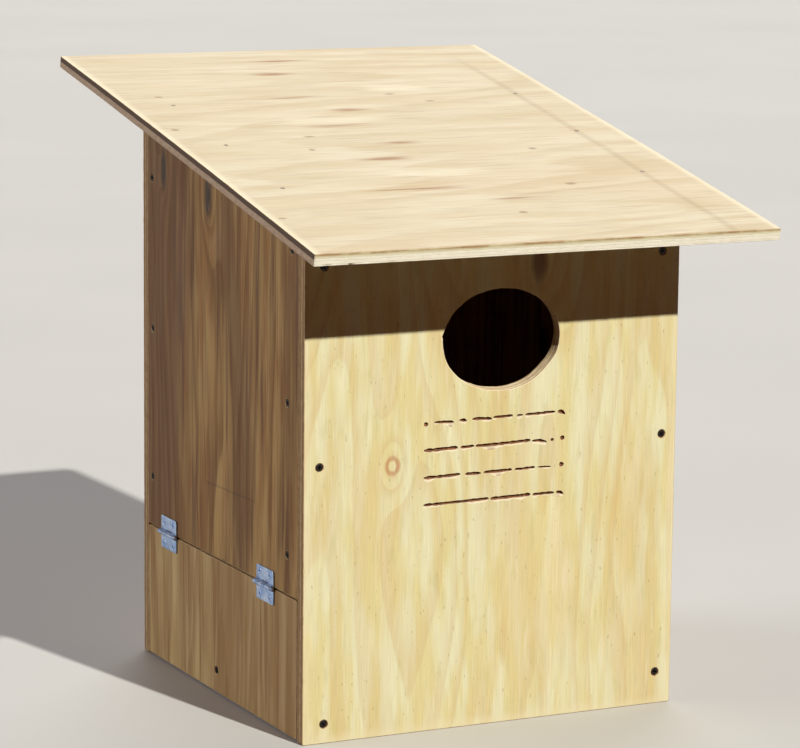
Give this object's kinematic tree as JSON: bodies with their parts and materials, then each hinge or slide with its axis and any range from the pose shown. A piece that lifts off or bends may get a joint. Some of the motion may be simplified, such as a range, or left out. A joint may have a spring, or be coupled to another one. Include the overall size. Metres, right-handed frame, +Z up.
{
  "type": "birdhouse",
  "caption": "Square plywood nest box with an oval entrance, saw-cut footholds, a sheet roof sloping to the front, and a hinged clean-out door low in the left wall.",
  "frame": {"origin": "middle of the whole object's box in plan, at the bottom edge of the walls", "axes": "+Z up, front panel and entrance towards -Y, +X to the right seen from the front"},
  "size_m": [0.463, 0.6112, 0.5843],
  "materials": {
    "front_plywood": "raw sanded pine-faced plywood, sunlit straw yellow with vertical grain",
    "roof_plywood": "raw plywood bleached pale, grain across the sheet",
    "side_plywood": "raw plywood, red-brown vertical grain",
    "door_plywood": "raw plywood, olive tan vertical grain",
    "inner_plywood": "raw plywood",
    "batten_pine": "sawn pine",
    "zinc_plated_steel": "bright zinc plate with a blue cast",
    "dark_screw_steel": "black phosphate",
    "nail_steel": "dull bright steel"
  },
  "bodies": {
    "box": {"front_panel": "front_plywood", "back_panel": "side_plywood", "left_side_panel": "side_plywood", "right_side_panel": "side_plywood", "roof_panel": "roof_plywood", "floor_panel": "inner_plywood", "front_left_batten": "batten_pine", "front_right_batten": "batten_pine", "rear_left_batten": "batten_pine", "rear_right_batten": "batten_pine", "front_screw_left_1": "dark_screw_steel", "front_screw_left_2": "dark_screw_steel", "front_screw_left_3": "dark_screw_steel", "front_screw_right_1": "dark_screw_steel", "front_screw_right_2": "dark_screw_steel", "front_screw_right_3": "dark_screw_steel", "back_screw_left_1": "dark_screw_steel", "back_screw_left_2": "dark_screw_steel", "back_screw_left_3": "dark_screw_steel", "back_screw_right_1": "dark_screw_steel", "back_screw_right_2": "dark_screw_steel", "back_screw_right_3": "dark_screw_steel", "left_front_screw_1": "dark_screw_steel", "left_front_screw_2": "dark_screw_steel", "left_front_screw_3": "dark_screw_steel", "left_rear_screw_1": "dark_screw_steel", "left_rear_screw_2": "dark_screw_steel", "left_rear_screw_3": "dark_screw_steel", "right_front_screw_1": "dark_screw_steel", "right_front_screw_2": "dark_screw_steel", "right_front_screw_3": "dark_screw_steel", "right_rear_screw_1": "dark_screw_steel", "right_rear_screw_2": "dark_screw_steel", "right_rear_screw_3": "dark_screw_steel", "floor_screw_right_1": "dark_screw_steel", "floor_screw_right_2": "dark_screw_steel", "floor_screw_back_1": "dark_screw_steel", "floor_screw_back_2": "dark_screw_steel", "roof_nail_left_1": "nail_steel", "roof_nail_left_2": "nail_steel", "roof_nail_left_3": "nail_steel", "roof_nail_right_1": "nail_steel", "roof_nail_right_2": "nail_steel", "roof_nail_right_3": "nail_steel", "front_hinge_upper_leaf": "zinc_plated_steel", "front_hinge_pin": "zinc_plated_steel", "rear_hinge_upper_leaf": "zinc_plated_steel", "rear_hinge_pin": "zinc_plated_steel", "front_hinge_screw_1": "zinc_plated_steel", "front_hinge_screw_2": "zinc_plated_steel", "rear_hinge_screw_1": "zinc_plated_steel", "rear_hinge_screw_2": "zinc_plated_steel"},
    "door": {"clean_out_door": "door_plywood", "front_hinge_lower_leaf": "zinc_plated_steel", "rear_hinge_lower_leaf": "zinc_plated_steel", "front_hinge_screw_3": "zinc_plated_steel", "front_hinge_screw_4": "zinc_plated_steel", "rear_hinge_screw_3": "zinc_plated_steel", "rear_hinge_screw_4": "zinc_plated_steel"},
    "door_screw": {"door_screw": "dark_screw_steel"}
  },
  "joints": [
    {"name": "door_hinge", "type": "hinge", "parent": "box", "child": "door", "pos_m": [-0.19331, -0.00507, 0.1317], "axis": [0, 1, 0], "range_deg": [0, 170]},
    {"name": "door_screw_out", "type": "slide", "parent": "door", "child": "door_screw", "axis": [-1, 0, 0], "range_m": [0, 0.012]}
  ]
}
